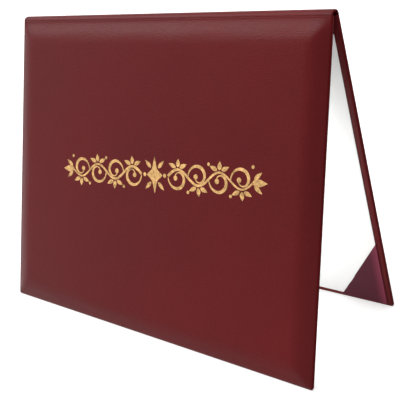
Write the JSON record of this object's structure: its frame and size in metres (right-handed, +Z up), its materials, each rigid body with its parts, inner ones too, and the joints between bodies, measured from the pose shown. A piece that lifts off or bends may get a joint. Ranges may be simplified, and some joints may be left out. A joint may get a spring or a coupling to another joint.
{
  "type": "diploma cover",
  "caption": "Padded certificate folder with two hinged covers, a white lining and satin corner pockets, stood open as a tent.",
  "frame": {"origin": "on the table under the middle of the fold, halfway between the two covers' bottom edges", "axes": "+X along the fold, +Y from the front cover to the back cover, +Z up"},
  "size_m": [0.298, 0.1256, 0.2348],
  "materials": {
    "leatherette": "fine grain, satin",
    "greyboard": "matte pressed board",
    "foam": "soft foam",
    "lining": "matte white card",
    "satin": "satin"
  },
  "bodies": {
    "back_cover": {"back_skin": "leatherette", "back_board": "greyboard", "back_pad": "foam", "back_liner": "lining", "pocket_left": "satin", "pocket_right": "satin", "spine_skin": "leatherette", "inner_hinge": "leatherette"},
    "front_cover": {"front_skin": "leatherette", "front_board": "greyboard", "front_pad": "foam", "front_liner": "lining"}
  },
  "joints": [
    {"name": "fold", "type": "hinge", "parent": "back_cover", "child": "front_cover", "pos_m": [0, 0, 0.2304], "axis": [-1, 0, 0], "range_deg": [-28, 152], "deforming": ["spine_skin", "inner_hinge"]}
  ]
}
